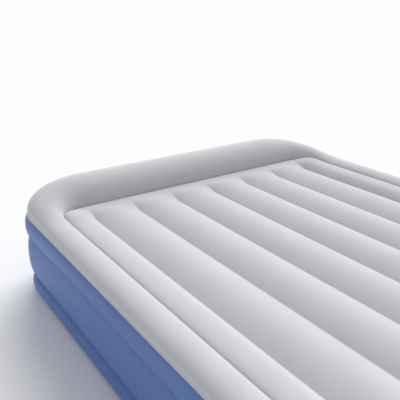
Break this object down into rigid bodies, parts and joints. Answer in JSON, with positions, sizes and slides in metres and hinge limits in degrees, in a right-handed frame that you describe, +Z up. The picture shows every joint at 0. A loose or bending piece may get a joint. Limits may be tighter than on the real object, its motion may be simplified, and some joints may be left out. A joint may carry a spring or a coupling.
{
  "type": "air mattress",
  "caption": "Raised double-height airbed with a flocked channelled top, built-in pillow and rim, bulged side walls and a recessed electric pump in the head wall.",
  "frame": {"origin": "middle of the bed's box on the floor", "axes": "+X across the bed to the sleeper's right, +Y towards the pillow, +Z up"},
  "size_m": [1.52, 2.03, 0.4197],
  "materials": {
    "flocked_pvc": "velvety flock",
    "blue_pvc": "satin",
    "base_pvc": "matt",
    "clear_pvc": "satin",
    "pump_plastic": "fine grain",
    "control_plastic": "satin",
    "switch_plastic": "gloss",
    "seal_rubber": "matt",
    "filter_foam": "open foam",
    "bright_steel": "bright",
    "motor_steel": "plated"
  },
  "bodies": {
    "airbed": {"channel_panel": "flocked_pvc", "pillow_cover": "flocked_pvc", "side_rim_left": "flocked_pvc", "side_rim_right": "flocked_pvc", "foot_rim": "flocked_pvc", "upper_wall_band": "blue_pvc", "middle_wall_band": "blue_pvc", "lower_wall_band": "blue_pvc", "bottom_sheet": "base_pvc", "head_web": "clear_pvc", "upper_waist_ribbon": "clear_pvc", "lower_waist_ribbon": "clear_pvc", "long_beam_1": "clear_pvc", "long_beam_2": "clear_pvc", "long_beam_3": "clear_pvc", "long_beam_4": "clear_pvc", "long_beam_5": "clear_pvc", "long_beam_6": "clear_pvc", "long_beam_7": "clear_pvc", "long_beam_8": "clear_pvc", "long_beam_9": "clear_pvc", "pump_collar": "blue_pvc", "clamp_ring": "pump_plastic", "face_gasket": "seal_rubber", "pump_housing": "pump_plastic", "face_panel": "pump_plastic", "face_screws": "bright_steel", "intake_grille": "pump_plastic", "intake_filter": "filter_foam", "valve_sleeve": "pump_plastic", "valve_seat": "pump_plastic", "valve_spring": "bright_steel", "switch_body": "pump_plastic", "cord_compartment": "pump_plastic", "cord_gland": "seal_rubber", "hatch_pin": "bright_steel", "volute": "pump_plastic", "outlet_duct": "pump_plastic", "motor_bracket": "pump_plastic", "motor_screws": "bright_steel", "motor_can": "motor_steel", "motor_magnets": "motor_steel"},
    "selector": {"control_dial": "control_plastic", "selector_drum": "pump_plastic"},
    "rocker": {"power_switch": "switch_plastic"},
    "hatch": {"cord_hatch": "pump_plastic"},
    "check_valve": {"valve_plate": "control_plastic"},
    "blower": {"motor_shaft": "bright_steel", "motor_armature": "motor_steel", "impeller": "control_plastic"}
  },
  "joints": [
    {"name": "selector_turn", "type": "hinge", "parent": "airbed", "child": "selector", "pos_m": [0.272, 1, 0.1585], "axis": [0, 1, 0], "range_deg": [-60, 60]},
    {"name": "rocker_tilt", "type": "hinge", "parent": "airbed", "child": "rocker", "pos_m": [0.328, 1.008, 0.1945], "axis": [0, 0, 1], "range_deg": [0, 16]},
    {"name": "hatch_swing", "type": "hinge", "parent": "airbed", "child": "hatch", "pos_m": [0.386, 1.011, 0.2], "axis": [1, 0, 0], "range_deg": [0, 100]},
    {"name": "valve_slide", "type": "slide", "parent": "airbed", "child": "check_valve", "axis": [0, -1, 0], "range_m": [0, 0.008], "stiffness_N_per_m": 20, "springref_m": -0.002, "deforming": ["valve_spring"]},
    {"name": "blower_spin", "type": "hinge", "parent": "airbed", "child": "blower", "pos_m": [0.38, 0.94, 0.1585], "axis": [0, 1, 0], "continuous": true}
  ]
}
